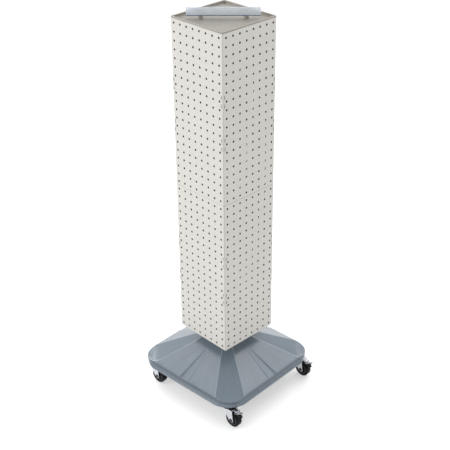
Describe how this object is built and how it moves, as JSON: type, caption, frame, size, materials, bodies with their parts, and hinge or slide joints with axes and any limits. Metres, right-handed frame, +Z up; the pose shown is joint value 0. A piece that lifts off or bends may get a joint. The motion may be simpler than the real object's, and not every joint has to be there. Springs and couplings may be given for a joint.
{
  "type": "revolving pegboard floor display",
  "caption": "Square four-sided pegboard tower that revolves on a pyramid-shaped base with braked swivel casters, with a clear sign channel on top.",
  "frame": {"origin": "on the floor, where the tower's vertical turning axis meets it", "axes": "+Z up along the turning axis; the tower's four pegboard faces look along +X, +Y, -X and -Y; the base is left turned 3.5 degrees about +Z under the tower"},
  "size_m": [0.4465, 0.4214, 1.2457],
  "materials": {
    "panel_plastic": "fine orange-peel moulded white polystyrene",
    "clip_plastic": "grey moulded nylon",
    "cap_plastic": "moulded taupe-white polystyrene",
    "clear_acrylic": "clear extruded acrylic",
    "zinc_steel": "bright zinc plate",
    "polished_steel": "polished bearing steel",
    "foot_plastic": "moulded white polystyrene",
    "base_plastic": "satin silver-grey moulded plastic",
    "board": "black-faced fibreboard",
    "black_plastic": "black nylon",
    "tread_rubber": "black rubber"
  },
  "bodies": {
    "base": {"base_shell": "base_plastic", "base_board": "board", "board_screws": "zinc_steel", "stem_sockets": "black_plastic", "hub_post": "board", "turntable_lower_plate": "zinc_steel", "turntable_rivet": "zinc_steel", "turntable_balls": "polished_steel", "turntable_base_screws": "zinc_steel", "caster_front_stem": "zinc_steel", "caster_left_stem": "zinc_steel", "caster_right_stem": "zinc_steel", "caster_back_stem": "zinc_steel"},
    "tower": {"panel_front_lower": "panel_plastic", "panel_front_upper": "panel_plastic", "panel_right_lower": "panel_plastic", "panel_right_upper": "panel_plastic", "panel_back_lower": "panel_plastic", "panel_back_upper": "panel_plastic", "panel_left_lower": "panel_plastic", "panel_left_upper": "panel_plastic", "corner_clips_lower": "clip_plastic", "corner_clips_upper": "clip_plastic", "joiner_sleeve": "clip_plastic", "top_cap": "cap_plastic", "sign_holder": "clear_acrylic", "sign_holder_screws": "zinc_steel", "tower_foot": "foot_plastic", "turntable_upper_plate": "zinc_steel", "turntable_tower_screws": "zinc_steel"},
    "swivel_front": {"caster_front_cover": "black_plastic", "caster_front_fork": "zinc_steel", "caster_front_axle": "zinc_steel"},
    "wheel_front": {"caster_front_core": "black_plastic", "caster_front_tyre": "tread_rubber"},
    "brake_front": {"caster_front_brake_pedal": "zinc_steel", "caster_front_brake_shoe": "tread_rubber"},
    "swivel_left": {"caster_left_cover": "black_plastic", "caster_left_fork": "zinc_steel", "caster_left_axle": "zinc_steel"},
    "wheel_left": {"caster_left_core": "black_plastic", "caster_left_tyre": "tread_rubber"},
    "brake_left": {"caster_left_brake_pedal": "zinc_steel", "caster_left_brake_shoe": "tread_rubber"},
    "swivel_right": {"caster_right_cover": "black_plastic", "caster_right_fork": "zinc_steel", "caster_right_axle": "zinc_steel"},
    "wheel_right": {"caster_right_core": "black_plastic", "caster_right_tyre": "tread_rubber"},
    "brake_right": {"caster_right_brake_pedal": "zinc_steel", "caster_right_brake_shoe": "tread_rubber"},
    "swivel_back": {"caster_back_cover": "black_plastic", "caster_back_fork": "zinc_steel", "caster_back_axle": "zinc_steel"},
    "wheel_back": {"caster_back_core": "black_plastic", "caster_back_tyre": "tread_rubber"},
    "brake_back": {"caster_back_brake_pedal": "zinc_steel", "caster_back_brake_shoe": "tread_rubber"}
  },
  "joints": [
    {"name": "tower_turn", "type": "hinge", "parent": "base", "child": "tower", "pos_m": [0, 0, 0.175], "axis": [0, 0, 1], "continuous": true},
    {"name": "swivel_front", "type": "hinge", "parent": "base", "child": "swivel_front", "pos_m": [0.17307, -0.15973, 0.066], "axis": [0, 0, 1], "continuous": true},
    {"name": "wheel_front", "type": "hinge", "parent": "swivel_front", "child": "wheel_front", "pos_m": [0.19593, -0.15833, 0.0254], "axis": [-0.061, 0.9981, 0], "continuous": true},
    {"name": "brake_front", "type": "hinge", "parent": "swivel_front", "child": "brake_front", "pos_m": [0.20901, -0.15753, 0.056], "axis": [-0.061, 0.9981, 0], "range_deg": [0, 10]},
    {"name": "swivel_left", "type": "hinge", "parent": "base", "child": "swivel_left", "pos_m": [-0.15232, -0.17963, 0.066], "axis": [0, 0, 1], "continuous": true},
    {"name": "wheel_left", "type": "hinge", "parent": "swivel_left", "child": "wheel_left", "pos_m": [-0.12946, -0.17824, 0.0254], "axis": [-0.061, 0.9981, 0], "continuous": true},
    {"name": "brake_left", "type": "hinge", "parent": "swivel_left", "child": "brake_left", "pos_m": [-0.11639, -0.17744, 0.056], "axis": [-0.061, 0.9981, 0], "range_deg": [0, 10]},
    {"name": "swivel_right", "type": "hinge", "parent": "base", "child": "swivel_right", "pos_m": [0.15232, 0.17963, 0.066], "axis": [0, 0, 1], "continuous": true},
    {"name": "wheel_right", "type": "hinge", "parent": "swivel_right", "child": "wheel_right", "pos_m": [0.17517, 0.18103, 0.0254], "axis": [-0.061, 0.9981, 0], "continuous": true},
    {"name": "brake_right", "type": "hinge", "parent": "swivel_right", "child": "brake_right", "pos_m": [0.18825, 0.18183, 0.056], "axis": [-0.061, 0.9981, 0], "range_deg": [0, 10]},
    {"name": "swivel_back", "type": "hinge", "parent": "base", "child": "swivel_back", "pos_m": [-0.17307, 0.15973, 0.066], "axis": [0, 0, 1], "continuous": true},
    {"name": "wheel_back", "type": "hinge", "parent": "swivel_back", "child": "wheel_back", "pos_m": [-0.15022, 0.16113, 0.0254], "axis": [-0.061, 0.9981, 0], "continuous": true},
    {"name": "brake_back", "type": "hinge", "parent": "swivel_back", "child": "brake_back", "pos_m": [-0.13714, 0.16193, 0.056], "axis": [-0.061, 0.9981, 0], "range_deg": [0, 10]}
  ]
}
